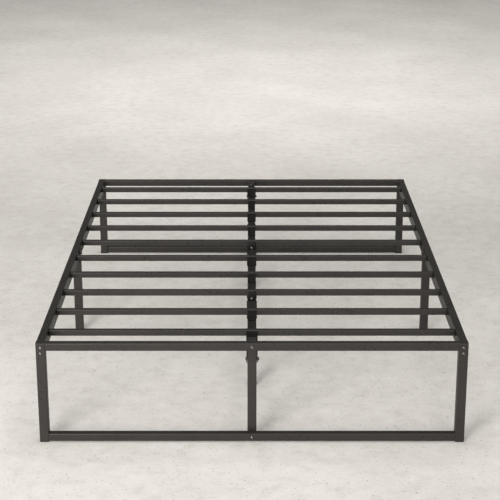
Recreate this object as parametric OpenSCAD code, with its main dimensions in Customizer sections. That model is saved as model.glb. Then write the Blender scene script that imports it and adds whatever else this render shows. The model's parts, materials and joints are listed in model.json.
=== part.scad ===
// Metal platform bed frame. Two welded end frames carry side rails in two halves, a centre beam in
// two halves and ten slats. Middle legs and centre legs hold the rails and the beam between the ends.
// The origin is on the floor at the middle of the frame. +Y points to the head end and +Z is up.
// Pieces are drawn at the foot end or on the left side, and mirrored to the head end or the right.

/* [Overall] */
// Width over the outer faces of the side rails
frame_w = 1360; // [1000:10:1900]
// Length over the outer faces of the end frames
frame_l = 1900; // [1700:10:2200]
// Height from the floor to the top of the rails
frame_h = 340; // [280:5:450]

/* [End frames] */
// Side of the square corner legs and middle legs
leg_tube = 30; // [28:0.5:36]
// Wall of the corner legs and middle legs
leg_wall = 1.2; // [1:0.1:2]
// Side of the square rails across the head and the foot
end_rail_tube = 25.4; // [22:0.2:28]
// Wall of the rails across the head and the foot
end_rail_wall = 1; // [1:0.1:2]
// Side of the square centre legs, at the ends and under the beam
centre_leg_tube = 29; // [25:0.5:34]
// Wall of the centre legs
centre_leg_wall = 1; // [1:0.1:2]
// Thickness of the plate that closes the top of a corner leg
top_plate_t = 2; // [1.5:0.5:4]

/* [Side rails] */
// Width of a side rail
side_rail_w = 25.4; // [23:0.2:28]
// Height of a side rail
side_rail_h = 44.5; // [42:0.5:60]
// Wall of a side rail
side_rail_wall = 1.2; // [1:0.1:2]
// Distance of the side rails' joint from the middle, towards the foot
rail_joint_offset = 25; // [18:1:30]
// Length of the tube that joins two halves of a side rail
rail_joiner_l = 100; // [90:1:110]
// Wall of the tube that joins two halves of a side rail
rail_joiner_wall = 1.5; // [1.5:0.1:3]
// Thickness of the angle bracket on a middle leg
leg_bracket_t = 2.5; // [2:0.5:4]
// Height of the angle bracket's upright above the middle of the side rail
leg_bracket_rise = 14; // [10:1:18]
// Length of the threaded plug in the corner end of a side rail
end_plug_l = 70; // [64:1:76]
// Distance of the plug's rivet from the plug's inner end
plug_rivet_margin = 13; // [10:1:20]
// Depth of the plug's rivet below the top of the side rail
plug_rivet_drop = 18; // [14:1:24]

/* [Centre beam] */
// Height of the centre beam
beam_h = 38; // [34:1:44]
// Wall of the centre beam
beam_wall = 1.2; // [1:0.1:2]
// Depth of the beam's top below the top of the rails
beam_drop = 40; // [37:1:60]
// Gap between the beam's end and the centre leg, and between the two halves
beam_gap = 1; // [0.5:0.5:3]
// Thickness of the fork plates at the beam's ends
fork_t = 3; // [2:0.5:4]
// Length of a fork plate along the beam, past the centre leg
fork_grip = 45; // [30:1:60]
// Step of a fork plate's edges in from the beam's top and bottom
fork_inset = 1; // [0.5:0.5:3]
// Height of the fork's cross bolt above the beam's bottom
fork_bolt_rise = 10; // [9:0.5:19]
// Wall of the caps on top of the beam
cap_wall = 2.3; // [2:0.1:3]
// Depth of the caps' lips below the beam's top
cap_lip = 7; // [5:0.5:12]
// Diameter of the threaded bosses under a cap
boss_d = 11; // [9:0.5:13]
// Depth of the threaded bosses under a cap
boss_h = 6; // [5:0.5:8]
// Distances from the middle of the two bolts on each side of the beam's joint
splice_bolt_near = 25; // [15:1:30]
splice_bolt_far = 60; // [50:1:68]
// Length of the tube that joins the two halves of the beam
beam_joiner_l = 200; // [160:2:240]
// Wall of the tube that joins the two halves of the beam
beam_joiner_wall = 1.5; // [1:0.1:3]
// Length of the cap and of the plate at each support leg
support_cap_l = 62; // [58:1:90]
// Thickness of the plate between a support leg and the beam
support_plate_t = 3; // [2:0.5:5]
// Distance of a support leg's two bolts from its middle
support_bolt_offset = 22; // [21:0.5:24]

/* [Slats] */
// Side of the square slats
slat_tube = 19; // [17:0.5:22]
// Wall of the slats
slat_wall = 0.9; // [0.8:0.1:1.6]
// Depth of the slats' tops below the top of the rails
slat_drop = 3; // [2:0.5:6]
// Distance from the outer face of an end frame to the nearest slat's middle
slat_inset = 126.5; // [110:0.5:160]
// Length of the plug of a slat's plastic end cap, inside the slat
slat_plug_l = 14; // [8:1:30]
// Thickness of the cap's end between the slat and the side rail
slat_cap_end = 3; // [2:0.5:5]
// Diameter of the cap's peg in the side rail
slat_peg_d = 10; // [8:0.5:12]
// Reach of the cap's peg into the side rail
slat_peg_l = 6; // [4:0.5:9]
// Width of a cradle between the beam and a slat
cradle_w = 30; // [24:0.5:40]
// Width of the wider cradles of the first and the last slat
end_cradle_w = 37; // [24:0.5:44]
// Wall of a cradle in front of and behind its slat
cradle_wall = 3; // [2:0.5:4]
// Step of the cradle's upper edges down from the slat's top
cradle_edge_drop = 1.5; // [1:0.5:8]
// Diameter of a cradle's peg in the beam
cradle_peg_d = 8; // [6:0.5:10]
// Reach of a cradle's peg into the beam
cradle_peg_l = 6; // [4:0.5:9]
// Width of the wider wall of a bolted bracket, away from the bolt's head
bracket_back_w = 34.5; // [24:0.5:40]
// Width of the steel lug inside a bolted bracket
lug_w = 26; // [20:1:30]
// Height of the bracket bolts above the beam's top
bracket_bolt_rise = 9; // [6:0.5:10]

/* [Feet] */
// Height of a foot cap below its leg
foot_h = 3; // [2:0.5:6]
// Height of a foot cap's plug inside its leg
foot_plug_h = 8; // [5:0.5:8.5]
// Height of a top plug's flange on a centre leg
top_plug_flange = 2; // [1.5:0.5:3]
// Depth of a top plug inside a centre leg
top_plug_h = 6; // [4:0.5:6.5]

/* [Fasteners] */
// Diameter of the ordinary bolts
bolt_d = 6; // [5:0.5:6]
// Diameter of the ordinary bolts' heads
bolt_head_d = 12; // [10:0.5:13]
// Height of the ordinary bolts' heads
bolt_head_h = 4; // [3.5:0.1:4.5]
// Hexagon socket across its flats
socket_af = 4; // [3:0.5:5]
// Depth of the hexagon socket
socket_depth = 2; // [1.5:0.1:2.5]
// Ordinary nut across its flats
nut_af = 10; // [9:0.5:11]
// Height of an ordinary nut
nut_h = 4.5; // [4:0.5:6]
// Length of a bolt's end past its nut
bolt_end = 1; // [1:0.5:4]
// Depth of the upper corner bolt below the top of the side rail
upper_bolt_drop = 14; // [11:0.5:15]
// Height of the lower corner bolt above the bottom of the side rail
lower_bolt_rise = 11; // [9:0.5:13]
// Reach of a corner bolt into the side rail's plug
corner_bolt_reach = 20; // [15:1:24]
// Diameter of the middle legs' carriage bolts
carriage_d = 8; // [6:0.5:10]
// Diameter of a carriage bolt's head
carriage_head_d = 18; // [15:0.5:20]
// Height of a carriage bolt's head
carriage_head_h = 3.5; // [3:0.1:4.5]
// Carriage bolt's nut across its flats
carriage_nut_af = 13; // [12:0.5:16]
// Height of a carriage bolt's nut
carriage_nut_h = 6.8; // [5:0.1:8]
// Diameter of the plug's rivet
rivet_d = 5; // [4:0.5:6]
// Diameter of the rivet's head
rivet_head_d = 9; // [8:0.5:11]
// Height of the rivet's head
rivet_head_h = 2.5; // [2:0.1:3]
// Length of the rivet below its head
rivet_l = 9; // [6:0.5:12]

/* [Fits] */
// Corner radius of the larger tubes
tube_r = 3; // [2.5:0.1:4]
// Corner radius of the slats
slat_r = 2; // [1.8:0.1:3]
// Gap on each side of a piece that slides inside or over a tube
slip = 0.2; // [0.1:0.05:0.4]
// Gap between the end of a bolt and the cap over it
bolt_tip_gap = 1; // [0.5:0.5:2]
// Gap between a cap on the beam and the slat bracket beside it
cap_gap = 0.8; // [0.2:0.1:2]
// Gap between the centre leg and each fork plate
fork_gap = 0.5; // [0.3:0.1:1]
// Gap round a bolt in its hole
bolt_gap = 0.3; // [0.2:0.05:0.5]
// Gap round a bolt in its nut or thread, and round a peg or rivet
thread_gap = 0.1; // [0.05:0.05:0.2]

/* [Hidden] */
// Slats are counted from the head
slat_count = 10;
$fn = 48;
corner_fn = 32;
cut = 1;

steel = "#4d4944";
plastic = "#1e1d1c";
bolt_steel = "#6a6763";

// The cradles and the bolted brackets share out the slats
cradle_slats = [2, 4, 7, 9];
end_cradle_slats = [1, slat_count];
bracket_slats = [3, 5, 6, 8];
// Slats whose brackets stand beside the beam's joint and beside the head end's support leg
splice_slat = 5;
support_slat = 3;
// Bracket bolts with their heads towards the foot
foot_facing_brackets = [5, 8];

half_w = frame_w / 2;
half_l = frame_l / 2;
leg_x = half_w - leg_tube / 2;
leg_y = half_l - leg_tube / 2;
leg_top = frame_h - top_plate_t;

end_rail_l = frame_w - 2 * leg_tube;
end_rail_y = half_l - end_rail_tube / 2;
top_rail_z = frame_h - end_rail_tube / 2;
bottom_rail_z = foot_h + end_rail_tube / 2;

centre_leg_outer_y = half_l - end_rail_tube;
centre_leg_y = centre_leg_outer_y - centre_leg_tube / 2;
centre_leg_inner_y = centre_leg_outer_y - centre_leg_tube;

side_rail_x = half_w - side_rail_w / 2;
side_rail_inner_x = half_w - side_rail_w;
side_rail_z = frame_h - side_rail_h / 2;
side_rail_bottom = frame_h - side_rail_h;
side_rail_end = half_l - leg_tube;
corner_bolt_zs = [frame_h - upper_bolt_drop, side_rail_bottom + lower_bolt_rise];
bracket_bottom = side_rail_bottom - leg_bracket_t;
bracket_face_x = side_rail_inner_x - leg_bracket_t;
plug_rivet_inset = end_plug_l - plug_rivet_margin;
plug_rivet_y = side_rail_end - plug_rivet_inset;
plug_rivet_z = frame_h - plug_rivet_drop;

// The beam is as wide as the fork's gap, so that the fork plates lie flat on its sides
beam_w = centre_leg_tube + 2 * fork_gap;
beam_top = frame_h - beam_drop;
beam_z = beam_top - beam_h / 2;
beam_bottom = beam_top - beam_h;
beam_end = centre_leg_inner_y - beam_gap;
fork_bolt_z = beam_bottom + fork_bolt_rise;
fork_h = beam_h - 2 * fork_inset;
fork_corner_r = 5;
fork_tip_y = centre_leg_outer_y - slip;
fork_l = fork_tip_y - beam_end + fork_grip;

slat_top = frame_h - slat_drop;
slat_z = slat_top - slat_tube / 2;
slat_bottom = slat_top - slat_tube;
slat_pitch = (frame_l - 2 * slat_inset) / (slat_count - 1);
slat_end_x = side_rail_inner_x - slat_cap_end;
cradle_inner = slat_tube + 2 * slip;
cradle_outer = cradle_inner + 2 * cradle_wall;
cradle_top = slat_top - cradle_edge_drop;
bracket_bolt_z = beam_top + bracket_bolt_rise;
lug_h = slat_bottom - beam_top - cradle_wall;

// Caps on the beam reach as far as the brackets beside them
cap_inner_w = beam_w + 2 * slip;
cap_w = cap_inner_w + 2 * cap_wall;
splice_cap_l = 2 * (slat_y(splice_slat) - cradle_outer / 2 - cap_gap);
support_y = slat_y(support_slat) + cradle_outer / 2 + cap_gap + support_cap_l / 2;
support_leg_top = beam_bottom - support_plate_t;
splice_bolt_ys = [splice_bolt_near, splice_bolt_far];
support_bolt_ys = [support_y - support_bolt_offset, support_y + support_bolt_offset];
fork_face_x = beam_w / 2 + fork_t;
carriage_through = half_w - bracket_face_x;
carriage_dome_fn = 64;

function slat_y(i) = half_l - slat_inset - (i - 1) * slat_pitch;
function is_in(value, list) = len([for (item = list) if (item == value) item]) > 0;

// Copies for the two ends and the two sides
module on_end(name) {
    mirror([0, name == "head" ? 1 : 0, 0]) children();
}

module on_side(name) {
    mirror([name == "right" ? 1 : 0, 0, 0]) children();
}

module four_corners() {
    for (end = ["foot", "head"], side = ["left", "right"])
        on_end(end) on_side(side) children();
}

// Directions: each lays a shape drawn along Z along another axis
module along_x() {
    rotate([90, 0, 90]) children();
}

module along_y() {
    rotate([-90, 0, 0]) children();
}

module towards_foot() {
    rotate([90, 0, 0]) children();
}

module towards_head() {
    rotate([-90, 0, 0]) children();
}

module towards_left() {
    rotate([0, -90, 0]) children();
}

module towards_right() {
    rotate([0, 90, 0]) children();
}

module towards_floor() {
    rotate([180, 0, 0]) children();
}

// Outlines, centred
module rounded_rect(w, h, r) {
    square([w - 2 * r, h], center = true);
    square([w, h - 2 * r], center = true);
    for (x = [-1, 1], y = [-1, 1])
        translate([x * (w / 2 - r), y * (h / 2 - r)]) circle(r, $fn = corner_fn);
}

module tube_outline(w, h, r, wall) {
    difference() {
        rounded_rect(w, h, r);
        rounded_rect(w - 2 * wall, h - 2 * wall, max(r - wall, 0.5));
    }
}

// Tubes from one height, place or end to another
module upright_tube(side, wall, z0, z1) {
    translate([0, 0, z0]) linear_extrude(z1 - z0) tube_outline(side, side, tube_r, wall);
}

module tube_in_x(d, h, r, wall, x0, x1) {
    translate([x0, 0, 0]) along_x() linear_extrude(x1 - x0) tube_outline(d, h, r, wall);
}

module tube_in_y(w, h, r, wall, y0, y1) {
    translate([0, y1, 0]) towards_foot() linear_extrude(y1 - y0) tube_outline(w, h, r, wall);
}

// Holes and fasteners
module hole(d, l) {
    cylinder(d = d, h = l, center = true);
}

module dome(d, h) {
    r = (d * d / 4 + h * h) / (2 * h);
    intersection() {
        cylinder(d = d, h = h);
        translate([0, 0, h - r]) sphere(r, $fn = carriage_dome_fn);
    }
}

module hexagon(af, h) {
    cylinder(d = af / cos(30), h = h, $fn = 6);
}

// Button-head bolt: the head stands on z = 0 and the shank hangs below it
module bolt(l) {
    difference() {
        dome(bolt_head_d, bolt_head_h);
        translate([0, 0, bolt_head_h - socket_depth]) hexagon(socket_af, socket_depth + cut);
    }
    translate([0, 0, -l]) cylinder(d = bolt_d, h = l);
}

module nut(af, h, d) {
    difference() {
        hexagon(af, h);
        translate([0, 0, -cut]) cylinder(d = d + 2 * thread_gap, h = h + 2 * cut);
    }
}

module corner_bolt_holes(l) {
    for (z = corner_bolt_zs)
        translate([0, 0, z]) along_y() hole(bolt_d + 2 * bolt_gap, l);
}

// End frames
module corner_leg() {
    color(steel) translate([-leg_x, -leg_y, 0])
        difference() {
            upright_tube(leg_tube, leg_wall, foot_h, leg_top);
            corner_bolt_holes(leg_tube + 2 * cut);
        }
}

module end_rail(z) {
    color(steel) translate([0, -end_rail_y, z])
        difference() {
            tube_in_x(end_rail_tube, end_rail_tube, tube_r, end_rail_wall,
                      -end_rail_l / 2, end_rail_l / 2);
            along_y() hole(bolt_d + 2 * bolt_gap, end_rail_tube + 2 * cut);
        }
}

module centre_leg() {
    color(steel) translate([0, -centre_leg_y, 0])
        difference() {
            upright_tube(centre_leg_tube, centre_leg_wall, foot_h, frame_h - top_plug_flange);
            for (z = [top_rail_z, bottom_rail_z])
                translate([0, 0, z]) along_y() hole(bolt_d + 2 * bolt_gap, centre_leg_tube + 2 * cut);
            translate([0, 0, fork_bolt_z])
                along_x() hole(bolt_d + 2 * bolt_gap, centre_leg_tube + 2 * cut);
        }
}

module corner_top_plates() {
    color(steel) four_corners()
        translate([-leg_x, -leg_y, leg_top])
            linear_extrude(top_plate_t) rounded_rect(leg_tube, leg_tube, tube_r);
}

// Side rails
module side_rail(y0, y1) {
    color(steel) translate([-side_rail_x, 0, 0])
        difference() {
            translate([0, 0, side_rail_z])
                tube_in_y(side_rail_w, side_rail_h, tube_r, side_rail_wall, y0, y1);
            side_rail_inner_holes(y0, y1);
            if (y0 < 0 && y1 > 0)
                translate([0, 0, side_rail_z])
                    along_x() hole(carriage_d + 2 * bolt_gap, side_rail_w + 2 * cut);
        }
}

// Holes for the slats' pegs, through the inner walls to a depth from the side rail's inner face
module slat_peg_holes(y0, y1, gap, depth) {
    for (i = [1 : slat_count])
        if (slat_y(i) > y0 && slat_y(i) < y1)
            translate([side_rail_w / 2, slat_y(i), slat_z])
                along_x() hole(slat_peg_d + 2 * gap, 2 * depth);
}

// Holes in the inner wall only, for the slats' pegs and the plug's rivet
module side_rail_inner_holes(y0, y1) {
    slat_peg_holes(y0, y1, thread_gap, side_rail_wall + cut);
    for (y = [-plug_rivet_y, plug_rivet_y])
        if (y > y0 && y < y1)
            translate([side_rail_w / 2, y, plug_rivet_z])
                along_x() hole(rivet_d + 2 * thread_gap, 2 * (side_rail_wall + cut));
}

module foot_side_rail() {
    side_rail(-side_rail_end, -rail_joint_offset);
}

module head_side_rail() {
    side_rail(-rail_joint_offset, side_rail_end);
}

module rail_joiner() {
    w = side_rail_w - 2 * (side_rail_wall + slip);
    h = side_rail_h - 2 * (side_rail_wall + slip);
    y0 = -rail_joint_offset - rail_joiner_l / 2;
    y1 = y0 + rail_joiner_l;
    color(steel) translate([-side_rail_x, 0, 0])
        difference() {
            translate([0, 0, side_rail_z])
                tube_in_y(w, h, tube_r - side_rail_wall, rail_joiner_wall, y0, y1);
            translate([0, 0, side_rail_z]) along_x() hole(carriage_d + 2 * bolt_gap, side_rail_w);
            slat_peg_holes(y0 - slat_peg_d, y1 + slat_peg_d, bolt_gap, slat_peg_l + cut);
        }
}

module rail_end_plugs() {
    w = side_rail_w - 2 * (side_rail_wall + slip);
    h = side_rail_h - 2 * (side_rail_wall + slip);
    thread_depth = corner_bolt_reach + cut;
    color(bolt_steel) four_corners()
        translate([-side_rail_x, -side_rail_end, 0])
            difference() {
                translate([0, end_plug_l, side_rail_z])
                    towards_foot() linear_extrude(end_plug_l) rounded_rect(w, h, tube_r - side_rail_wall);
                for (z = corner_bolt_zs)
                    translate([side_rail_x - leg_x, 0, z])
                        along_y() hole(bolt_d + 2 * thread_gap, 2 * thread_depth);
                translate([w / 2, plug_rivet_inset, plug_rivet_z])
                    along_x() hole(rivet_d + 2 * thread_gap, 2 * rivet_l);
            }
}

// Middle legs
module middle_leg() {
    color(steel) translate([-leg_x, 0, 0]) upright_tube(leg_tube, leg_wall, foot_h, bracket_bottom);
}

module leg_bracket() {
    upright_h = side_rail_z + leg_bracket_rise - bracket_bottom;
    base_w = max(leg_tube, side_rail_w + leg_bracket_t);
    color(steel)
        difference() {
            union() {
                translate([-half_w, -leg_tube / 2, bracket_bottom]) cube([base_w, leg_tube, leg_bracket_t]);
                translate([-side_rail_inner_x, -leg_tube / 2, bracket_bottom])
                    cube([leg_bracket_t, leg_tube, upright_h]);
            }
            translate([-side_rail_inner_x, 0, side_rail_z])
                along_x() hole(carriage_d + 2 * bolt_gap, 4 * leg_bracket_t);
        }
}

// Centre beam and what holds it
module centre_beam() {
    color(steel)
        difference() {
            translate([0, 0, beam_z]) tube_in_y(beam_w, beam_h, tube_r, beam_wall, -beam_end, -beam_gap / 2);
            upright_bolt_holes([for (y = concat(splice_bolt_ys, support_bolt_ys)) -y]);
            children();
        }
}

// Holes for the bolts that come up through the beam, and for the bosses that they screw into
module upright_bolt_holes(places) {
    for (y = places) {
        translate([0, y, beam_bottom]) hole(bolt_d + 2 * bolt_gap, beam_h);
        translate([0, y, beam_top]) hole(boss_d + 2 * slip, 2 * boss_h);
    }
}

// Holes in the beam's upper wall for the pegs of the cradles at one end
module cradle_peg_holes(end) {
    for (i = concat(cradle_slats, end_cradle_slats)) {
        y = end == "foot" ? slat_y(i) : -slat_y(i);
        if (y < 0)
            translate([0, y, beam_top]) hole(cradle_peg_d + 2 * thread_gap, 2 * (beam_wall + cut));
    }
}

module beam_fork() {
    color(steel)
        for (side = ["left", "right"])
            on_side(side)
                translate([-beam_w / 2 - fork_t, -fork_tip_y + fork_l / 2, beam_z])
                    along_x()
                        difference() {
                            linear_extrude(fork_t) rounded_rect(fork_l, fork_h, fork_corner_r);
                            translate([fork_tip_y - centre_leg_y - fork_l / 2, fork_bolt_z - beam_z, 0])
                                hole(bolt_d + 2 * bolt_gap, 4 * fork_t);
                        }
}

module beam_joiner() {
    w = beam_w - 2 * (beam_wall + slip);
    h = beam_h - 2 * (beam_wall + slip);
    color(steel)
        difference() {
            translate([0, 0, beam_z])
                tube_in_y(w, h, tube_r - beam_wall, beam_joiner_wall, -beam_joiner_l / 2, beam_joiner_l / 2);
            upright_bolt_holes(concat(splice_bolt_ys, -splice_bolt_ys));
        }
}

// Shallow channel over the beam's top, with threaded bosses that reach down into it
module beam_cap(y0, l, bolt_ys) {
    color(steel)
        difference() {
            union() {
                difference() {
                    translate([-cap_w / 2, y0 - l / 2, beam_top - cap_lip])
                        cube([cap_w, l, cap_lip + cap_wall]);
                    translate([-cap_inner_w / 2, y0 - l / 2 - cut, beam_top - cap_lip - cut])
                        cube([cap_inner_w, l + 2 * cut, cap_lip + cut]);
                }
                for (y = bolt_ys)
                    translate([0, y, beam_top - boss_h]) cylinder(d = boss_d, h = boss_h);
            }
            for (y = bolt_ys)
                translate([0, y, beam_top - boss_h - cut])
                    cylinder(d = bolt_d + 2 * thread_gap, h = boss_h + cut);
        }
}

module splice_cap() {
    beam_cap(0, splice_cap_l, concat(splice_bolt_ys, -splice_bolt_ys));
}

module support_caps() {
    for (end = ["foot", "head"])
        on_end(end) beam_cap(-support_y, support_cap_l, -support_bolt_ys);
}

module support_plates() {
    color(steel)
        for (end = ["foot", "head"])
            on_end(end)
                difference() {
                    translate([-cap_w / 2, -support_y - support_cap_l / 2, support_leg_top])
                        cube([cap_w, support_cap_l, support_plate_t]);
                    for (y = support_bolt_ys)
                        translate([0, -y, support_leg_top]) hole(bolt_d + 2 * bolt_gap, 4 * support_plate_t);
                }
}

module support_leg() {
    color(steel) translate([0, -support_y, 0])
        upright_tube(centre_leg_tube, centre_leg_wall, foot_h, support_leg_top);
}

// Slats
module slat(i) {
    color(steel) translate([0, slat_y(i), slat_z])
        tube_in_x(slat_tube, slat_tube, slat_r, slat_wall, -slat_end_x, slat_end_x);
}

// End cap: a flange between the slat and the side rail, a plug in the slat and a peg in the rail
module slat_cap() {
    plug = slat_tube - 2 * (slat_wall + slip);
    along_x() {
        linear_extrude(slat_cap_end) rounded_rect(slat_tube, slat_tube, slat_r);
        translate([0, 0, slat_cap_end])
            linear_extrude(slat_plug_l) rounded_rect(plug, plug, slat_r - slat_wall);
        translate([0, 0, -slat_peg_l]) cylinder(d = slat_peg_d, h = slat_peg_l);
    }
}

module slat_caps() {
    color(plastic)
        for (i = [1 : slat_count])
            translate([-side_rail_inner_x, slat_y(i), slat_z]) slat_cap();
}

// Upright section that holds a slat from below, drawn across the beam
module holder_outline() {
    difference() {
        translate([-cradle_outer / 2, 0]) square([cradle_outer, cradle_top - beam_top]);
        translate([-cradle_inner / 2, slat_bottom - beam_top]) square([cradle_inner, slat_tube]);
    }
}

module cradle(w) {
    translate([-w / 2, 0, beam_top]) along_x() linear_extrude(w) holder_outline();
    translate([0, 0, beam_top - cradle_peg_l]) cylinder(d = cradle_peg_d, h = cradle_peg_l);
}

module slat_cradles() {
    color(plastic)
        for (i = cradle_slats)
            translate([0, slat_y(i), 0]) cradle(cradle_w);
}

module end_slat_cradles() {
    color(plastic)
        for (i = end_cradle_slats)
            translate([0, slat_y(i), 0]) cradle(end_cradle_w);
}

// A bracket is drawn with its bolt's head towards the foot, and turned round on the other slats
module at_brackets() {
    for (i = bracket_slats)
        translate([0, slat_y(i), 0])
            mirror([0, is_in(i, foot_facing_brackets) ? 0 : 1, 0]) children();
}

// Bracket that grips its slat above and a steel lug on the beam below
module slat_brackets() {
    color(plastic) at_brackets()
        difference() {
            union() {
                translate([-cradle_w / 2, 0, beam_top]) along_x() linear_extrude(cradle_w) holder_outline();
                translate([-bracket_back_w / 2, cradle_inner / 2, beam_top])
                    cube([bracket_back_w, cradle_wall, cradle_top - beam_top]);
            }
            translate([-cradle_w / 2 - cut, -cradle_inner / 2, beam_top - cut])
                cube([cradle_w + 2 * cut, cradle_inner, lug_h + cut]);
            translate([0, -cradle_outer / 2, bracket_bolt_z])
                along_y() hole(bolt_d + 2 * bolt_gap, 2 * (cradle_wall + cut));
        }
}

module bracket_lugs() {
    color(steel) at_brackets()
        difference() {
            translate([-lug_w / 2, -slat_tube / 2, beam_top]) cube([lug_w, slat_tube, lug_h]);
            translate([0, 0, bracket_bolt_z]) along_y() hole(bolt_d + 2 * thread_gap, slat_tube + 2 * cut);
        }
}

// Feet and top plugs
module foot_cap(side, wall) {
    plug = side - 2 * (wall + slip);
    linear_extrude(foot_h) rounded_rect(side, side, tube_r);
    translate([0, 0, foot_h]) linear_extrude(foot_plug_h) rounded_rect(plug, plug, tube_r - wall);
}

module corner_feet() {
    color(plastic) four_corners() translate([-leg_x, -leg_y, 0]) foot_cap(leg_tube, leg_wall);
}

module middle_feet() {
    color(plastic)
        for (side = ["left", "right"])
            on_side(side) translate([-leg_x, 0, 0]) foot_cap(leg_tube, leg_wall);
}

module centre_feet() {
    color(plastic)
        for (y = [-centre_leg_y, -support_y, support_y, centre_leg_y])
            translate([0, y, 0]) foot_cap(centre_leg_tube, centre_leg_wall);
}

module centre_top_plugs() {
    plug = centre_leg_tube - 2 * (centre_leg_wall + slip);
    color(steel)
        for (y = [-centre_leg_y, centre_leg_y])
            translate([0, y, frame_h - top_plug_flange]) {
                linear_extrude(top_plug_flange) rounded_rect(centre_leg_tube, centre_leg_tube, tube_r);
                translate([0, 0, -top_plug_h])
                    linear_extrude(top_plug_h) rounded_rect(plug, plug, tube_r - centre_leg_wall);
            }
}

// Fasteners
module corner_bolts() {
    color(bolt_steel) four_corners()
        for (z = corner_bolt_zs)
            translate([-leg_x, -half_l, z]) towards_foot() bolt(leg_tube + corner_bolt_reach);
}

module centre_leg_bolts() {
    color(bolt_steel)
        for (end = ["foot", "head"], z = [top_rail_z, bottom_rail_z])
            on_end(end) translate([0, -half_l, z])
                towards_foot() bolt(end_rail_tube + centre_leg_tube + nut_h + bolt_end);
}

// One bolt across each fork, and bolts that come up from under the beam into the caps' bosses
module beam_bolts() {
    color(bolt_steel)
        for (end = ["foot", "head"])
            on_end(end) {
                translate([-fork_face_x, -centre_leg_y, fork_bolt_z])
                    towards_left() bolt(2 * fork_face_x + nut_h + bolt_end);
                for (y = splice_bolt_ys)
                    translate([0, -y, beam_bottom]) towards_floor() bolt(beam_h - bolt_tip_gap);
                for (y = support_bolt_ys)
                    translate([0, -y, support_leg_top])
                        towards_floor() bolt(support_plate_t + beam_h - bolt_tip_gap);
            }
}

module bracket_bolts() {
    color(bolt_steel) at_brackets()
        translate([0, -cradle_outer / 2, bracket_bolt_z]) towards_foot() bolt(cradle_wall + slat_tube);
}

module hex_nuts() {
    color(bolt_steel)
        for (end = ["foot", "head"])
            on_end(end) {
                for (z = [top_rail_z, bottom_rail_z])
                    translate([0, -centre_leg_inner_y, z]) towards_head() nut(nut_af, nut_h, bolt_d);
                translate([fork_face_x, -centre_leg_y, fork_bolt_z])
                    towards_right() nut(nut_af, nut_h, bolt_d);
            }
}

module carriage_bolts() {
    shank = carriage_through + carriage_nut_h + bolt_end;
    color(bolt_steel)
        for (side = ["left", "right"])
            on_side(side) translate([-half_w, 0, side_rail_z]) towards_left() {
                dome(carriage_head_d, carriage_head_h);
                translate([0, 0, -shank]) cylinder(d = carriage_d, h = shank);
            }
}

module carriage_nuts() {
    color(bolt_steel)
        for (side = ["left", "right"])
            on_side(side) translate([-bracket_face_x, 0, side_rail_z])
                towards_right() nut(carriage_nut_af, carriage_nut_h, carriage_d);
}

module plug_rivets() {
    color(bolt_steel) four_corners()
        translate([-side_rail_inner_x, -plug_rivet_y, plug_rivet_z]) towards_right() {
            dome(rivet_head_d, rivet_head_h);
            translate([0, 0, -rivet_l]) cylinder(d = rivet_d, h = rivet_l);
        }
}

corner_leg();  // foot_left_leg
on_side("right") corner_leg();  // foot_right_leg
on_end("head") corner_leg();  // head_left_leg
on_end("head") on_side("right") corner_leg();  // head_right_leg
end_rail(top_rail_z);  // foot_top_rail
end_rail(bottom_rail_z);  // foot_bottom_rail
on_end("head") end_rail(top_rail_z);  // head_top_rail
on_end("head") end_rail(bottom_rail_z);  // head_bottom_rail
centre_leg();  // foot_centre_leg
on_end("head") centre_leg();  // head_centre_leg
support_leg();  // foot_support_leg
on_end("head") support_leg();  // head_support_leg
foot_side_rail();  // left_foot_side_rail
head_side_rail();  // left_head_side_rail
on_side("right") foot_side_rail();  // right_foot_side_rail
on_side("right") head_side_rail();  // right_head_side_rail
middle_leg();  // left_middle_leg
on_side("right") middle_leg();  // right_middle_leg
leg_bracket();  // left_leg_bracket
on_side("right") leg_bracket();  // right_leg_bracket
rail_joiner();  // left_rail_joiner
on_side("right") rail_joiner();  // right_rail_joiner
centre_beam() cradle_peg_holes("foot");  // foot_centre_beam
on_end("head") centre_beam() cradle_peg_holes("head");  // head_centre_beam
beam_fork();  // foot_beam_fork
on_end("head") beam_fork();  // head_beam_fork
beam_joiner();
splice_cap();
support_caps();
support_plates();
for (i = [1 : slat_count])
    slat(i);
slat_caps();  // left_slat_caps
on_side("right") slat_caps();  // right_slat_caps
slat_cradles();
end_slat_cradles();
slat_brackets();
bracket_lugs();
rail_end_plugs();
corner_top_plates();
centre_top_plugs();
corner_feet();
middle_feet();
centre_feet();
corner_bolts();
centre_leg_bolts();
beam_bolts();
bracket_bolts();
hex_nuts();
carriage_bolts();
carriage_nuts();
plug_rivets();
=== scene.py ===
"""Metal platform bed frame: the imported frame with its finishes, welds and fittings, on a pale floor."""

import json
import math

import bpy
from mathutils import Matrix, Vector


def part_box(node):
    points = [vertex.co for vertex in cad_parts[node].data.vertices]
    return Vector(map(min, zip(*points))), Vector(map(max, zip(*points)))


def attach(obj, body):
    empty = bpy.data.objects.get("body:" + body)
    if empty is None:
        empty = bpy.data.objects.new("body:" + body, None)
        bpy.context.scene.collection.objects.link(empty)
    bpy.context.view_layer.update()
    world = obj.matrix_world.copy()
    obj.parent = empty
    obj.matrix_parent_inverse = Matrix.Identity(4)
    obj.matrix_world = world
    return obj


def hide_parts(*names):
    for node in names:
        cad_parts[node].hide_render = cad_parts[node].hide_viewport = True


MM = 0.001

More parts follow.
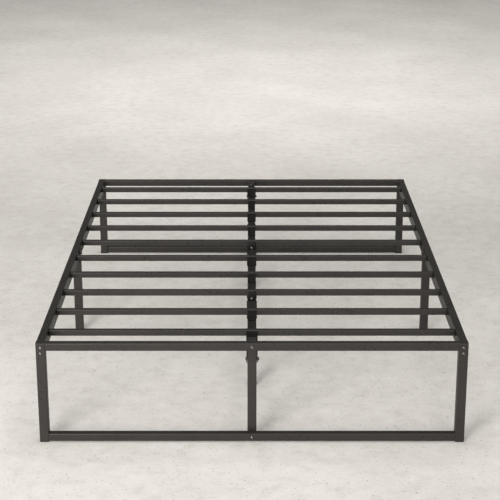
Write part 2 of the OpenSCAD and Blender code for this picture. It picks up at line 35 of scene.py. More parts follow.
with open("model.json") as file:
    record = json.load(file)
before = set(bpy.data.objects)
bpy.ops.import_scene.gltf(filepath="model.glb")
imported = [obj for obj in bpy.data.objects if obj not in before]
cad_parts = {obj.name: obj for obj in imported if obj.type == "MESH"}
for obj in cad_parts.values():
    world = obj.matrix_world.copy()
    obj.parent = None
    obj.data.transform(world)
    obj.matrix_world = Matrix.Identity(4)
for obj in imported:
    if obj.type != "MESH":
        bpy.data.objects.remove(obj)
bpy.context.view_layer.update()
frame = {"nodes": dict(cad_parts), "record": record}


# ---------------------------------------------------------------- node helpers

def new_group(name, inputs, outputs):
    """A shader node group: each input is (name, type, default) and each output (name, type)."""
    group = bpy.data.node_groups.new(name, "ShaderNodeTree")
    for socket_name, socket_type, default in inputs:
        socket = group.interface.new_socket(socket_name, in_out="INPUT", socket_type=socket_type)
        socket.default_value = default
    for socket_name, socket_type in outputs:
        group.interface.new_socket(socket_name, in_out="OUTPUT", socket_type=socket_type)
    return group, group.nodes.new("NodeGroupInput"), group.nodes.new("NodeGroupOutput")


def add_node(tree, kind, settings=None, **sockets):
    """A node with its properties from settings and its input sockets set or linked by name."""
    node = tree.nodes.new(kind)
    for key, value in (settings or {}).items():
        setattr(node, key, value)
    for key, value in sockets.items():
        socket = node.inputs[key.replace("_", " ")]
        if isinstance(value, bpy.types.NodeSocket):
            tree.links.new(value, socket)
        else:
            socket.default_value = value
    return node


def maths(tree, operation, a, b=0.0, clamp=False):
    """The result of one Math node on two values or sockets."""
    node = tree.nodes.new("ShaderNodeMath")
    node.operation = operation
    node.use_clamp = clamp
    for socket, value in zip(node.inputs, (a, b)):
        if isinstance(value, bpy.types.NodeSocket):
            tree.links.new(value, socket)
        else:
            socket.default_value = value
    return node.outputs[0]


def remap(tree, value, low, high, to_low=0.0, to_high=1.0):
    """Value from low..high, clamped, put on to_low..to_high."""
    node = tree.nodes.new("ShaderNodeMapRange")
    tree.links.new(value, node.inputs["Value"])
    for name, number in (("From Min", low), ("From Max", high), ("To Min", to_low), ("To Max", to_high)):
        node.inputs[name].default_value = number
    return node.outputs["Result"]


def mix_colour(tree, factor, a, b):
    """A blend of two colours."""
    node = tree.nodes.new("ShaderNodeMix")
    node.data_type = "RGBA"
    for name, value in (("Factor", factor), ("A", a), ("B", b)):
        socket = next(s for s in node.inputs if s.name == name and s.enabled)
        if isinstance(value, bpy.types.NodeSocket):
            tree.links.new(value, socket)
        else:
            socket.default_value = value
    return next(s for s in node.outputs if s.enabled)


# ---------------------------------------------------------------- shared surface effects

def make_coat_grain():
    """Sprayed coat: a fine orange-peel height, a slow drift of tone and faint rubbed streaks."""
    group, given, out = new_group(
        "coat_grain",
        [("Colour", "NodeSocketColor", (0.1, 0.1, 0.1, 1)),
         ("Rubbed Colour", "NodeSocketColor", (0.2, 0.2, 0.2, 1)),
         ("Peel Scale", "NodeSocketFloat", 700.0), ("Drift Scale", "NodeSocketFloat", 9.0),
         ("Drift", "NodeSocketFloat", 0.25), ("Rub", "NodeSocketFloat", 0.2),
         ("Roughness", "NodeSocketFloat", 0.4), ("Roughness Drift", "NodeSocketFloat", 0.12)],
        [("Colour", "NodeSocketColor"), ("Roughness", "NodeSocketFloat"), ("Height", "NodeSocketFloat")],
    )
    place = add_node(group, "ShaderNodeTexCoord").outputs["Object"]
    peel = add_node(group, "ShaderNodeTexNoise", Vector=place, Scale=given.outputs["Peel Scale"],
                    Detail=2.0, Roughness=0.55).outputs["Fac"]
    drift = add_node(group, "ShaderNodeTexNoise", Vector=place, Scale=given.outputs["Drift Scale"],
                     Detail=5.0, Roughness=0.6).outputs["Fac"]
    smear = add_node(group, "ShaderNodeTexNoise", Vector=place, Scale=46.0, Detail=6.0,
                     Roughness=0.7, Distortion=1.2).outputs["Fac"]
    rubbed = maths(group, "MULTIPLY", remap(group, smear, 0.56, 0.74), given.outputs["Rub"])
    swing = maths(group, "SUBTRACT", drift, 0.5)
    shade = maths(group, "MULTIPLY", swing, given.outputs["Drift"])
    lift = maths(group, "ADD", maths(group, "MULTIPLY", shade, 2.0), 1.0)
    toned = add_node(group, "ShaderNodeVectorMath", {"operation": "SCALE"})
    group.links.new(given.outputs["Colour"], toned.inputs[0])
    group.links.new(lift, toned.inputs["Scale"])
    colour = mix_colour(group, rubbed, toned.outputs[0], given.outputs["Rubbed Colour"])
    rough_swing = maths(group, "MULTIPLY", swing, given.outputs["Roughness Drift"])
    rough = maths(group, "ADD", given.outputs["Roughness"], rough_swing)
    rough = maths(group, "ADD", rough, maths(group, "MULTIPLY", rubbed, 0.15), clamp=True)
    group.links.new(colour, out.inputs["Colour"])
    group.links.new(rough, out.inputs["Roughness"])
    group.links.new(peel, out.inputs["Height"])
    return group


def make_edge_wear_and_highlight():
    """Mask of worn edges and of painted highlight lines along rounded edges: where the rounded normal
    leaves the flat one, broken up by noise.
    """
    group, given, out = new_group(
        "edge_wear_and_highlight",
        [("Width", "NodeSocketFloat", 0.002), ("Amount", "NodeSocketFloat", 0.5),
         ("Scale", "NodeSocketFloat", 160.0)],
        [("Mask", "NodeSocketFloat"), ("Normal", "NodeSocketVector")],
    )
    # The materials lighten their rounded edges by this mask: partly wear, partly a painted highlight line.
    rounded = add_node(group, "ShaderNodeBevel", {"samples": 4}, Radius=given.outputs["Width"])
    soft = rounded.outputs["Normal"]
    hard = add_node(group, "ShaderNodeNewGeometry").outputs["Normal"]
    dot = add_node(group, "ShaderNodeVectorMath", {"operation": "DOT_PRODUCT"})
    group.links.new(soft, dot.inputs[0])
    group.links.new(hard, dot.inputs[1])
    edge = remap(group, dot.outputs["Value"], 0.985, 0.80)
    place = add_node(group, "ShaderNodeTexCoord").outputs["Object"]
    breakup = add_node(group, "ShaderNodeTexNoise", Vector=place, Scale=given.outputs["Scale"],
                     Detail=5.0, Roughness=0.65).outputs["Fac"]
    broken = maths(group, "MULTIPLY", edge, remap(group, breakup, 0.42, 0.62))
    mask = maths(group, "MULTIPLY", broken, given.outputs["Amount"], clamp=True)
    group.links.new(mask, out.inputs["Mask"])
    group.links.new(soft, out.inputs["Normal"])
    return group


def make_settled_dust():
    """Mask of dust on faces that look up, thicker in soft patches."""
    group, given, out = new_group(
        "settled_dust",
        [("Amount", "NodeSocketFloat", 0.2), ("Patch Scale", "NodeSocketFloat", 14.0)],
        [("Mask", "NodeSocketFloat")],
    )
    normal = add_node(group, "ShaderNodeNewGeometry").outputs["Normal"]
    up = add_node(group, "ShaderNodeSeparateXYZ", Vector=normal).outputs["Z"]
    place = add_node(group, "ShaderNodeTexCoord").outputs["Object"]
    patch = add_node(group, "ShaderNodeTexNoise", Vector=place, Scale=given.outputs["Patch Scale"],
                     Detail=7.0, Roughness=0.7).outputs["Fac"]
    mask = maths(group, "MULTIPLY", remap(group, up, 0.55, 0.98), remap(group, patch, 0.35, 0.75))
    group.links.new(maths(group, "MULTIPLY", mask, given.outputs["Amount"], clamp=True), out.inputs["Mask"])
    return group


COAT_GRAIN = make_coat_grain()
EDGE_WEAR_AND_HIGHLIGHT = make_edge_wear_and_highlight()
SETTLED_DUST = make_settled_dust()


def place_group(tree, group, **values):
    """A shared group in a material, with its own values."""
    node = tree.nodes.new("ShaderNodeGroup")
    node.node_tree = group
    for key, value in values.items():
        node.inputs[key.replace("_", " ")].default_value = value
    return node


def finish_material(name, grain, wear_and_highlight, dust, worn_and_highlight_colour, dust_colour, bump, gloss, **shader):
    """A coated or moulded surface: grain under edge wear and painted edge highlight under dust, with the
    shader's own constants.

    gloss is its specular level seen square on and seen edge on, where a fine texture hides its own shine.
    """
    material = bpy.data.materials.new(name)
    material.use_nodes = True
    tree = material.node_tree
    surface = tree.nodes["Principled BSDF"]
    coat = place_group(tree, COAT_GRAIN, **grain)
    edges = place_group(tree, EDGE_WEAR_AND_HIGHLIGHT, **wear_and_highlight)
    settled = place_group(tree, SETTLED_DUST, **dust)
    # Painted highlight: the edge mask lightens every rounded edge towards the given light colour, partly
    # wear and partly a painted highlight line.
    worn_and_highlit = mix_colour(tree, edges.outputs["Mask"], coat.outputs["Colour"], worn_and_highlight_colour)
    dusty = mix_colour(tree, settled.outputs["Mask"], worn_and_highlit, dust_colour)
    tree.links.new(dusty, surface.inputs["Base Color"])
    rough = maths(tree, "ADD", coat.outputs["Roughness"],
                  maths(tree, "MULTIPLY", settled.outputs["Mask"], 0.35), clamp=True)
    tree.links.new(rough, surface.inputs["Roughness"])
    relief = add_node(tree, "ShaderNodeBump", Strength=bump[0], Distance=bump[1],
                      Height=coat.outputs["Height"], Normal=edges.outputs["Normal"])
    tree.links.new(relief.outputs["Normal"], surface.inputs["Normal"])
    facing = add_node(tree, "ShaderNodeLayerWeight", Blend=0.5).outputs["Facing"]
    tree.links.new(remap(tree, facing, 0.3, 0.85, gloss[0], gloss[1]), surface.inputs["Specular IOR Level"])
    for key, value in shader.items():
        surface.inputs[key.replace("_", " ")].default_value = value
    return material


POWDER_COAT = finish_material(
    "powder_coat",
    dict(Colour=(0.0225, 0.0200, 0.0180, 1), Rubbed_Colour=(0.046, 0.041, 0.037, 1), Peel_Scale=620.0,
         Drift_Scale=7.0, Drift=0.30, Rub=0.25, Roughness=0.28, Roughness_Drift=0.10),
    # Edge settings; the first colour two lines down (0.15) lightens the rounded edges: edge wear and a
    # painted highlight line.
    dict(Width=0.0020, Amount=0.80, Scale=210.0),
    dict(Amount=0.06, Patch_Scale=16.0),
    (0.15, 0.14, 0.13, 1), (0.22, 0.205, 0.19, 1), (0.16, 0.0006),
    (0.36, 0.02),
    Metallic=0.0,
)
MOULDED_PLASTIC = finish_material(
    "moulded_plastic",
    dict(Colour=(0.0045, 0.0043, 0.0042, 1), Rubbed_Colour=(0.010, 0.0098, 0.0095, 1), Peel_Scale=1500.0,
         Drift_Scale=22.0, Drift=0.25, Rub=0.35, Roughness=0.52, Roughness_Drift=0.14),
    # Edge settings; the first colour two lines down (0.050) lightens the rounded edges: edge wear and a
    # painted highlight line.
    dict(Width=0.0008, Amount=0.25, Scale=420.0),
    dict(Amount=0.04, Patch_Scale=30.0),
    (0.050, 0.048, 0.046, 1), (0.22, 0.21, 0.20, 1), (0.25, 0.0003),
    (0.20, 0.04),
    Metallic=0.0,
)
BLACK_ZINC = finish_material(
    "black_zinc",
    dict(Colour=(0.13, 0.125, 0.12, 1), Rubbed_Colour=(0.30, 0.29, 0.27, 1), Peel_Scale=2200.0,
         Drift_Scale=90.0, Drift=0.35, Rub=0.55, Roughness=0.27, Roughness_Drift=0.18),
    dict(Width=0.0006, Amount=0.8, Scale=700.0),
    dict(Amount=0.05, Patch_Scale=60.0),
    (0.52, 0.50, 0.47, 1), (0.24, 0.23, 0.22, 1), (0.20, 0.0002),
    (0.5, 0.5),
    Metallic=1.0,
)
SLOT_FINISH = {"frame_steel": POWDER_COAT, "black_plastic": MOULDED_PLASTIC, "fastener": BLACK_ZINC}


def dress(piece, material):
    """Gives a piece one finish and nothing else."""
    piece.data.materials.clear()
    piece.data.materials.append(material)


def dress_frame():
    """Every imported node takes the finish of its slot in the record."""
    slot_of = {row["node"]: row["material_slot"] for row in frame["record"]["subparts"]}
    for name, node in frame["nodes"].items():
        dress(node, SLOT_FINISH[slot_of[name]])


# ---------------------------------------------------------------- modelling helpers

FIND = 0.1 * MM
SQUARE_ON = 0.9
SEAM = 0.005 * MM


def new_block(name, low, high):
    """A block between two corners, with its place in its mesh."""
    low, high = Vector(low), Vector(high)
    bpy.ops.object.select_all(action="DESELECT")
    bpy.ops.mesh.primitive_cube_add(size=1, location=(low + high) / 2)
    block = bpy.context.active_object
    block.name = name
    block.scale = high - low
    bpy.ops.object.transform_apply(location=True, rotation=True, scale=True)
    return block


def pick(piece, kind, test):
    """Selects, in edit mode, the faces (centre, normal) or the edges (end, end) that pass a test."""
    bpy.ops.object.mode_set(mode="EDIT")
    bpy.ops.mesh.select_mode(type=kind)
    bpy.ops.mesh.select_all(action="DESELECT")
    bpy.ops.object.mode_set(mode="OBJECT")
    mesh = piece.data
    if kind == "FACE":
        for face in mesh.polygons:
            face.select = test(face.center, face.normal)
    else:
        for edge in mesh.edges:
            edge.select = test(*(mesh.vertices[i].co for i in edge.vertices))
    bpy.ops.object.mode_set(mode="EDIT")


def to_object():
    """Back to object mode."""
    bpy.ops.object.mode_set(mode="OBJECT")


def apply_modifier(piece, kind, **settings):
    """Adds one modifier to the active piece and applies it."""
    modifier = piece.modifiers.new(kind.lower(), kind)
    for key, value in settings.items():
        setattr(modifier, key, value)
    bpy.context.view_layer.objects.active = piece
    bpy.ops.object.modifier_apply(modifier=modifier.name)


def combine(piece, other, operation):
    """Joins, cuts or trims a piece with another solid and cleans the seams."""
    apply_modifier(piece, "BOOLEAN", operation=operation, object=other, solver="EXACT")
    bpy.data.objects.remove(other, do_unlink=True)
    bpy.ops.object.select_all(action="DESELECT")
    piece.select_set(True)
    bpy.ops.object.mode_set(mode="EDIT")
    bpy.ops.mesh.select_all(action="SELECT")
    bpy.ops.mesh.remove_doubles(threshold=SEAM)
    bpy.ops.mesh.dissolve_limited(angle_limit=math.radians(1))
    to_object()


def cut_away(piece, low, high):
    """Takes a block out of a piece."""
    combine(piece, new_block("cutter", low, high), "DIFFERENCE")


def sink_panel(piece, test, margin, depth):
    """Sinks a flat panel with a margin round it into each face that passes the test."""
    pick(piece, "FACE", test)
    bpy.ops.mesh.inset(thickness=margin, depth=0, use_individual=True)
    bpy.ops.mesh.inset(thickness=depth, depth=-depth, use_individual=True)
    to_object()


def soften(piece, width, segments=3, angle=35):
    """Rounds a piece's edges and shades the roundings smoothly."""
    apply_modifier(piece, "BEVEL", width=width, segments=segments, limit_method="ANGLE",
                   angle_limit=math.radians(angle), use_clamp_overlap=True)
    bpy.ops.object.shade_smooth_by_angle(angle=math.radians(30))


def copy_to(piece, name, matrix):
    """A copy of a modelled piece with its own mesh, moved in its mesh."""
    copy = piece.copy()
    copy.data = piece.data.copy()
    copy.name = name
    copy.data.transform(matrix)
    bpy.context.scene.collection.objects.link(copy)
    return copy


def turned(place, z_angle=0.0, x_angle=0.0, y_angle=0.0):
    """The matrix that turns a piece about its own origin, in degrees, and puts it at a place."""
    turn = Matrix.Rotation(math.radians(z_angle), 4, "Z")
    turn = turn @ Matrix.Rotation(math.radians(y_angle), 4, "Y")
    turn = turn @ Matrix.Rotation(math.radians(x_angle), 4, "X")
    return Matrix.Translation(place) @ turn


def hand_over(piece, slot):
    """Gives a finished piece its slot's finish and ties it to the frame."""
    dress(piece, SLOT_FINISH[slot])
    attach(piece, "root")


def join_pieces(pieces, name):
    """Joins several pieces into one."""
    bpy.ops.object.select_all(action="DESELECT")
    for piece in pieces:
        piece.select_set(True)
    bpy.context.view_layer.objects.active = pieces[0]
    bpy.ops.object.join()
    pieces[0].name = name
    pieces[0].data.name = name
    return pieces[0]


def discard(piece):
    """Removes a pattern piece after its copies are made."""
    bpy.data.objects.remove(piece, do_unlink=True)


# ---------------------------------------------------------------- places from the frame

SLAT_BOXES = [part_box("slat_%d" % (i + 1)) for i in range(10)]
SLAT_SIDE = SLAT_BOXES[0][1].z - SLAT_BOXES[0][0].z
SLAT_BOTTOM = SLAT_BOXES[0][0].z
BEAM_LOW, BEAM_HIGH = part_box("foot_centre_beam")
LEG_LOW, LEG_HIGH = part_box("foot_left_leg")
LEG_SIDE = LEG_HIGH.x - LEG_LOW.x


def slat_y(number):
    """Middle of a slat, counted from the head end."""
    low, high = SLAT_BOXES[number - 1]
    return (low.y + high.y) / 2


# ---------------------------------------------------------------- moulded cradles and brackets

CRADLE_SLATS = (2, 4, 7, 9)
END_SLATS = (1, 10)
BRACKET_SLATS = (3, 5, 6, 8)
HEAD_FACING_BRACKETS = (3, 6)
CRADLE_GAP = 0.2 * MM
CRADLE_WALL = 3 * MM
CRADLE_ROUND = 0.7 * MM
CRADLE_WIDTH = 30 * MM
END_CRADLE_WIDTH = 37 * MM
BRACKET_BASE = 3 * MM
BRACKET_BACK = 34.5 * MM
OUTER_FACE_Y = 12 * MM
SIDE_PANEL = (2.4 * MM, 0.8 * MM)
FRONT_PANEL = (3.4 * MM, 0.7 * MM)


def slat_holder(name, width, height):
    """A block on the beam's top with a slot for the slat; its origin is at the foot of its middle."""
    half_slot = SLAT_SIDE / 2 + CRADLE_GAP
    half_deep = half_slot + CRADLE_WALL
    slot_z = SLAT_BOTTOM - BEAM_HIGH.z
    holder = new_block(name, (-width / 2, -half_deep, 0), (width / 2, half_deep, height))
    cut_away(holder, (-width, -half_slot, slot_z), (width, half_slot, 2 * height))
    return holder


def moulded_cradle(width):
    """Plastic cradle: sunk panels in its four sides and rounded edges."""
    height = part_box("slat_cradles")[1].z - BEAM_HIGH.z
    cradle = slat_holder("cradle_pattern", width, height)
    sink_panel(cradle, lambda centre, normal: abs(normal.x) > SQUARE_ON, *SIDE_PANEL)
    sink_panel(
        cradle,
        lambda centre, normal: abs(normal.y) > SQUARE_ON and abs(centre.y) > OUTER_FACE_Y,
        *FRONT_PANEL,
    )
    soften(cradle, CRADLE_ROUND)
    return cradle


def moulded_bracket():
    """Plastic bracket: grips the slat above and a lug below, with a wider panelled wall behind."""
    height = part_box("slat_brackets")[1].z - BEAM_HIGH.z
    width = CRADLE_WIDTH
    half_slot = SLAT_SIDE / 2 + CRADLE_GAP
    slot_z = SLAT_BOTTOM - BEAM_HIGH.z
    body_low = (-width / 2, -half_slot - CRADLE_WALL, 0)
    body = new_block("bracket_pattern", body_low, (width / 2, half_slot, height))
    cut_away(body, (-width, -half_slot, slot_z), (width, 2 * half_slot, 2 * height))
    cut_away(body, (-width, -half_slot, -MM), (width, 2 * half_slot, slot_z - BRACKET_BASE))
    soften(body, CRADLE_ROUND)
    back_low = (-BRACKET_BACK / 2, half_slot, 0)
    back = new_block("bracket_back", back_low, (BRACKET_BACK / 2, half_slot + CRADLE_WALL, height))
    sink_panel(back, lambda centre, normal: normal.y > SQUARE_ON, *FRONT_PANEL)
    soften(back, CRADLE_ROUND)
    return join_pieces([body, back], "bracket_pattern")


def make_holders():
    """Cradles and brackets along the beam, in place of their plain nodes."""
    kinds = (
        (CRADLE_SLATS, CRADLE_WIDTH, "slat_cradles"),
        (END_SLATS, END_CRADLE_WIDTH, "end_slat_cradles"),
    )
    for slats, width, node in kinds:
        pattern = moulded_cradle(width)
        for number in slats:
            place = turned((0, slat_y(number), BEAM_HIGH.z))
            cradle = copy_to(pattern, "moulded_cradle_%d" % number, place)
            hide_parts(node)
            hand_over(cradle, "black_plastic")
        discard(pattern)
    pattern = moulded_bracket()
    for number in BRACKET_SLATS:
        turn = 180 if number in HEAD_FACING_BRACKETS else 0
        place = turned((0, slat_y(number), BEAM_HIGH.z), z_angle=turn)
        bracket = copy_to(pattern, "moulded_bracket_%d" % number, place)
        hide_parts("slat_brackets")
        hand_over(bracket, "black_plastic")
    discard(pattern)


# ---------------------------------------------------------------- foot caps

SOLE_MARGIN = 4 * MM
SOLE_STEP = 0.5 * MM
SOLE_RING = 2.5 * MM
FOOT_CORNER = 3 * MM
FOOT_ROUND = 0.4 * MM
PLUG_MARGIN = 1.4 * MM
PLUG_HEIGHT = 8 * MM


def foot_pattern(side, height):
    """Foot cap: a pad with rounded corners, a ringed sole and a plug above."""
    half = side / 2
    pad = new_block("foot_pattern", (-half, -half, 0), (half, half, height))
    pick(pad, "FACE", lambda centre, normal: normal.z < -SQUARE_ON)
    bpy.ops.mesh.inset(thickness=SOLE_MARGIN, depth=0)
    bpy.ops.mesh.inset(thickness=SOLE_STEP, depth=-SOLE_STEP)
    bpy.ops.mesh.inset(thickness=SOLE_RING, depth=0)
    bpy.ops.mesh.inset(thickness=SOLE_STEP, depth=SOLE_STEP)
    pick(pad, "EDGE", lambda a, b: abs(a.z - b.z) > height / 2 and abs(a.x) > half - FIND)
    bpy.ops.mesh.bevel(offset=FOOT_CORNER, segments=5, affect="EDGES")
    pick(pad, "FACE", lambda centre, normal: normal.z > SQUARE_ON)
    bpy.ops.mesh.inset(thickness=PLUG_MARGIN, depth=0)
    bpy.ops.mesh.extrude_region_move(TRANSFORM_OT_translate={"value": (0, 0, PLUG_HEIGHT)})
    to_object()
    soften(pad, FOOT_ROUND, segments=2, angle=50)
    return pad


def make_feet():
    """Foot caps under the ten legs, in place of their plain nodes."""
    groups = (
        ("corner_feet", ("foot_left_leg", "foot_right_leg", "head_left_leg", "head_right_leg")),
        ("middle_feet", ("left_middle_leg", "right_middle_leg")),
        ("centre_feet", ("foot_centre_leg", "head_centre_leg", "foot_support_leg", "head_support_leg")),
    )
    for node, legs in groups:
        low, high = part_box(legs[0])
        pattern = foot_pattern(high.x - low.x, low.z)
        for leg in legs:
            low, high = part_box(leg)
            place = ((low.x + high.x) / 2, (low.y + high.y) / 2, 0)
            cap = copy_to(pattern, leg + "_cap", turned(place))
            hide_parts(node)
            hand_over(cap, "black_plastic")
        discard(pattern)


# ---------------------------------------------------------------- bolts, nuts and rivets

TOWARDS = {
    "foot": {"x_angle": 90},
    "head": {"x_angle": -90},
    "left": {"y_angle": -90},
    "right": {"y_angle": 90},
    "floor": {"x_angle": 180},
}
# Each profile is (radius, height) in mm, from the seat of the head to its crown
BUTTON_PROFILE = (
    (6.0, 0.0), (6.0, 0.5), (5.85, 1.0), (5.4, 1.7), (4.7, 2.4), (3.9, 2.95), (3.1, 3.3), (2.75, 3.4),
    (2.5, 3.2),
)
CARRIAGE_PROFILE = (
    (9.0, 0.0), (9.0, 0.5), (8.75, 1.0), (8.0, 1.7), (6.8, 2.35), (5.2, 2.9), (3.4, 3.3), (1.4, 3.46),
)
RIVET_PROFILE = ((4.5, 0.0), (4.5, 0.4), (4.2, 0.9), (3.5, 1.6), (2.5, 2.1), (1.4, 2.4), (1.0, 2.2))
HEAD_SIDES = 48
HOLE_SIDES = 32
SOCKET_FLATS = 4 * MM
SOCKET_DEPTH = 2 * MM
SOCKET_RIM_Z = 3.57 * MM
SOCKET_CONE = (0.9 * MM, 0.5 * MM)
KEY_TOP = 6 * MM
SHANK = 3 * MM
TIP_CHAMFER = 0.6 * MM
NUT_CHAMFER_SHARE = 0.96
HALF_CORNER = math.cos(math.radians(30))


def new_bar(name, radius, low_z, high_z, sides):
    """A bar along Z with its place in its mesh; flats face X when it has six sides."""
    bpy.ops.object.select_all(action="DESELECT")
    bpy.ops.mesh.primitive_cylinder_add(vertices=sides, radius=radius, depth=high_z - low_z,
                                        location=(0, 0, (low_z + high_z) / 2))
    bar = bpy.context.active_object
    bar.name = name
    bpy.ops.object.transform_apply(location=True, rotation=True, scale=True)
    return bar


def turned_head(name, profile, shank_radius, shank_length):
    """A round head drawn ring by ring up its profile, in mm, with a chamfered shank below."""
    head = new_bar(name, profile[0][0] * MM, 0, profile[1][1] * MM, HEAD_SIDES)
    pick(head, "FACE", lambda centre, normal: normal.z > SQUARE_ON)
    for (radius, z), (next_radius, next_z) in zip(profile[1:], profile[2:]):
        bpy.ops.mesh.inset(thickness=(radius - next_radius) * MM, depth=(next_z - z) * MM)
    pick(head, "FACE", lambda centre, normal: normal.z < -SQUARE_ON)
    bpy.ops.mesh.inset(thickness=profile[0][0] * MM - shank_radius, depth=0)
    down = (0, 0, TIP_CHAMFER - shank_length)
    bpy.ops.mesh.extrude_region_move(TRANSFORM_OT_translate={"value": down})
    bpy.ops.mesh.inset(thickness=TIP_CHAMFER, depth=TIP_CHAMFER)
    to_object()
    return head


def button_bolt(length):
    """Button-head bolt with a hexagon socket; its head stands on its origin."""
    bolt = turned_head("bolt_pattern", BUTTON_PROFILE, SHANK, length)
    floor_z = SOCKET_RIM_Z - SOCKET_DEPTH
    key = new_bar("key", SOCKET_FLATS / 2 / HALF_CORNER, floor_z, KEY_TOP, 6)
    combine(bolt, key, "DIFFERENCE")
    pick(bolt, "FACE", lambda centre, normal: normal.z > SQUARE_ON and centre.z < floor_z + FIND)
    bpy.ops.mesh.inset(thickness=SOCKET_CONE[0], depth=-SOCKET_CONE[1])
    to_object()
    bpy.ops.object.shade_smooth_by_angle(angle=math.radians(32))
    return bolt


def hexagon_nut(flats, height, hole):
    """Nut with its corners chamfered at both ends and a plain hole; it stands on its origin."""
    corner = flats / 2 / HALF_CORNER
    chamfer = corner - flats / 2 * NUT_CHAMFER_SHARE
    nut = new_bar("nut_pattern", corner, chamfer / 2, height - chamfer / 2, HEAD_SIDES)
    for up in (1, -1):
        pick(nut, "FACE", lambda centre, normal: normal.z * up > SQUARE_ON)
        bpy.ops.mesh.inset(thickness=chamfer, depth=chamfer / 2)
    to_object()
    combine(nut, new_bar("flats", corner, -MM, height + MM, 6), "INTERSECT")
    combine(nut, new_bar("hole", hole, -MM, height + MM, HOLE_SIDES), "DIFFERENCE")
    bpy.ops.object.shade_smooth_by_angle(angle=math.radians(22))
    return nut


def place_all(pattern, label, node, places):
    """Copies a pattern to each (place, direction), in place of a plain node."""
    for i, (place, direction) in enumerate(places):
        copy = copy_to(pattern, "%s_%d" % (label, i + 1), turned(place, **TOWARDS[direction]))
        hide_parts(node)
        hand_over(copy, "fastener")
    discard(pattern)


CORNER_BOLT_Z = (326 * MM, 306.5 * MM)
CROSS_BOLT_Z = 272 * MM
SPLICE_BOLT_Y = (25 * MM, 60 * MM)
SUPPORT_BOLT_Y = (480 * MM, 524 * MM)
BRACKET_BOLT_Z = 309 * MM
RIVET_Y = 863 * MM
RIVET_Z = 322 * MM
NUT_FLATS = 10 * MM
NUT_HEIGHT = 4.5 * MM
BOLT_END = 1 * MM
CORNER_BOLT_REACH = 20 * MM
CARRIAGE_RADIUS = 4 * MM
CARRIAGE_SHANK = 35 * MM
CARRIAGE_NUT_FLATS = 13 * MM
CARRIAGE_NUT_HEIGHT = 6.8 * MM
CARRIAGE_NUT_FACE_X = 652.1 * MM
RIVET_RADIUS = 2.4 * MM
RIVET_SHANK = 4 * MM


def make_fasteners():
    """Every bolt, nut and rivet, in place of the plain nodes."""
    foot_y, head_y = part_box("foot_left_leg")[0].y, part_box("head_left_leg")[1].y
    ends = ((foot_y, "foot"), (head_y, "head"))
    leg_x = (LEG_LOW.x + LEG_HIGH.x) / 2
    side_low, side_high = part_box("left_foot_side_rail")
    rail_boxes = [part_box(node) for node in ("foot_top_rail", "foot_bottom_rail")]
    rail_z = [(low.z + high.z) / 2 for low, high in rail_boxes]
    centre_low, centre_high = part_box("foot_centre_leg")
    centre_y = (centre_low.y + centre_high.y) / 2
    fork_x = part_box("foot_beam_fork")[1].x

    places = [((x, y, z), way) for x in (leg_x, -leg_x) for y, way in ends for z in CORNER_BOLT_Z]
    place_all(button_bolt(LEG_SIDE + CORNER_BOLT_REACH), "corner_bolt", "corner_bolts", places)

    length = centre_high.y - foot_y + NUT_HEIGHT + BOLT_END
    places = [((0, y, z), way) for y, way in ends for z in rail_z]
    place_all(button_bolt(length), "centre_leg_bolt", "centre_leg_bolts", places)

    place_all(button_bolt(2 * fork_x + NUT_HEIGHT + BOLT_END), "fork_bolt", "beam_bolts",
              [((-fork_x, y, CROSS_BOLT_Z), "left") for y in (centre_y, -centre_y)])
    splice = [((0, side * y, BEAM_LOW.z), "floor") for side in (-1, 1) for y in SPLICE_BOLT_Y]
    length = BEAM_HIGH.z - BEAM_LOW.z - BOLT_END
    place_all(button_bolt(length), "splice_bolt", "beam_bolts", splice)
    plate_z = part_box("support_plates")[0].z
    support = [((0, side * y, plate_z), "floor") for side in (-1, 1) for y in SUPPORT_BOLT_Y]
    length = BEAM_HIGH.z - plate_z - BOLT_END
    place_all(button_bolt(length), "support_bolt", "beam_bolts", support)

    reach = SLAT_SIDE / 2 + CRADLE_GAP + CRADLE_WALL
    places = []
    for number in BRACKET_SLATS:
        way, side = ("head", 1) if number in HEAD_FACING_BRACKETS else ("foot", -1)
        places.append(((0, slat_y(number) + side * reach, BRACKET_BOLT_Z), way))
    place_all(button_bolt(CRADLE_WALL + SLAT_SIDE), "bracket_bolt", "bracket_bolts", places)

    nut = hexagon_nut(NUT_FLATS, NUT_HEIGHT, SHANK)
    places = [((0, centre_high.y, z), "head") for z in rail_z]
    places += [((0, -centre_high.y, z), "foot") for z in rail_z]
    places += [((fork_x, y, CROSS_BOLT_Z), "right") for y in (centre_y, -centre_y)]
    place_all(nut, "hex_nut", "hex_nuts", places)

    carriage_low, carriage_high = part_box("carriage_bolts")
    carriage_z = (carriage_low.z + carriage_high.z) / 2
    bolt = turned_head("carriage_pattern", CARRIAGE_PROFILE, CARRIAGE_RADIUS, CARRIAGE_SHANK)
    bpy.ops.object.shade_smooth_by_angle(angle=math.radians(32))
    places = [((side_low.x, 0, carriage_z), "left"), ((-side_low.x, 0, carriage_z), "right")]
    place_all(bolt, "carriage_bolt", "carriage_bolts", places)
    nut = hexagon_nut(CARRIAGE_NUT_FLATS, CARRIAGE_NUT_HEIGHT, CARRIAGE_RADIUS)
    face_x = CARRIAGE_NUT_FACE_X
    places = [((-face_x, 0, carriage_z), "right"), ((face_x, 0, carriage_z), "left")]
    place_all(nut, "carriage_nut", "carriage_nuts", places)

    rivet = turned_head("rivet_pattern", RIVET_PROFILE, RIVET_RADIUS, RIVET_SHANK)
    bpy.ops.object.shade_smooth_by_angle(angle=math.radians(40))
    places = [((side * side_high.x, y, RIVET_Z), way) for side, way in ((1, "right"), (-1, "left"))
              for y in (-RIVET_Y, RIVET_Y)]
    place_all(rivet, "plug_rivet", "plug_rivets", places)


# ---------------------------------------------------------------- weld beads

BEAD_RADIUS = 1.7 * MM
BEAD_PITCH = 1.5 * MM
BEAD_VALLEY = 0.82
BEAD_TIP = 0.55
# How much of a tube's side, or of a plate's height, each kind of bead covers
ACROSS_RAIL = 0.84
UP_RAIL = 0.78
UP_FORK = 0.6
ROUND_SUPPORT = 0.76
ACROSS_MIDDLE_LEG = 0.72


